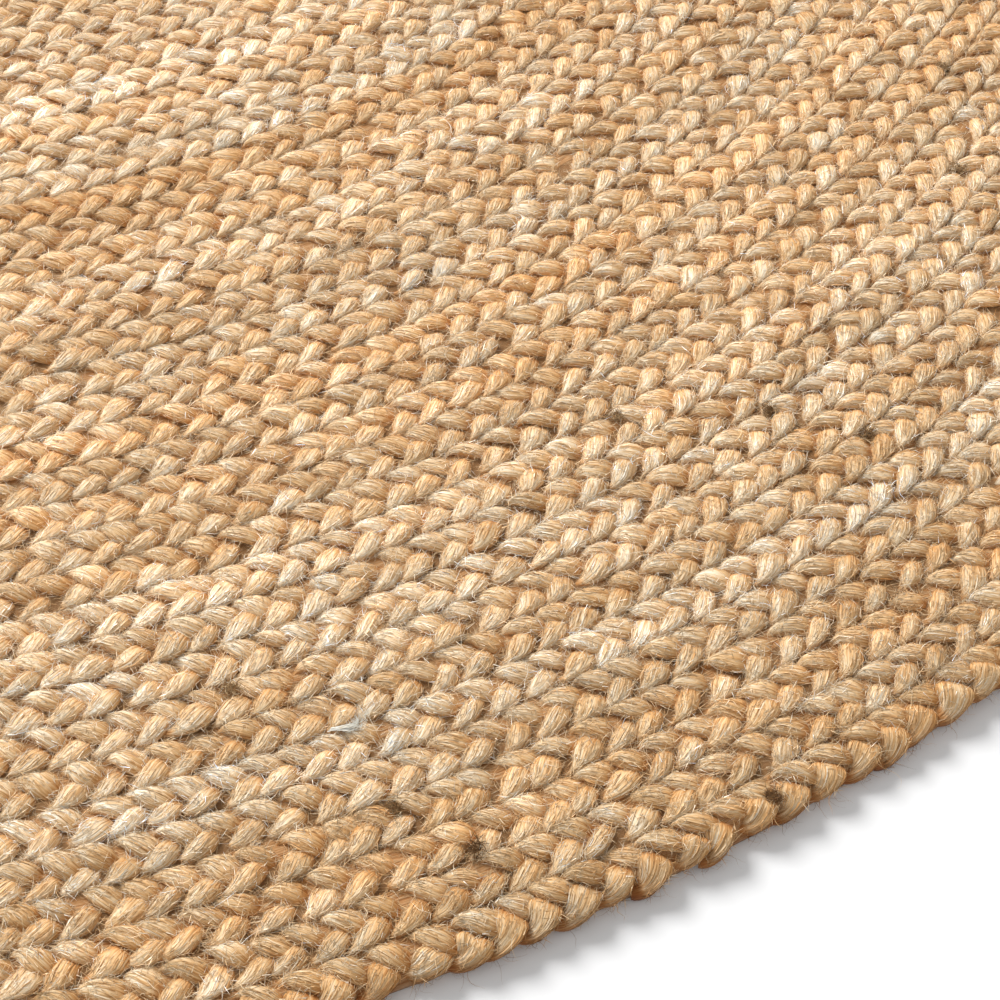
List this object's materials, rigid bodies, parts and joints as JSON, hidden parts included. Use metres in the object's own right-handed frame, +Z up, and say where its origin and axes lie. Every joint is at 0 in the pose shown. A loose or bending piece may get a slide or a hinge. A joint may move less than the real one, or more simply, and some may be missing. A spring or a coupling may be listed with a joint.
{
  "type": "round braided jute rug",
  "caption": "Round floor rug made of one flat three-strand jute plait, coiled from the middle and sewn edge to edge.",
  "frame": {"origin": "middle of the rug's outline, on the surface that it lies on", "axes": "+Z up, through the rug's thickness; the plait's tucked end lies at 130 degrees from +X towards +Y"},
  "size_m": [1.9868, 1.9958, 0.011],
  "materials": {
    "jute_plait": "undyed jute fibre, dry and softly silky along the strands"
  },
  "bodies": {
    "root": {"braided_rug": "jute_plait"}
  },
  "joints": []
}
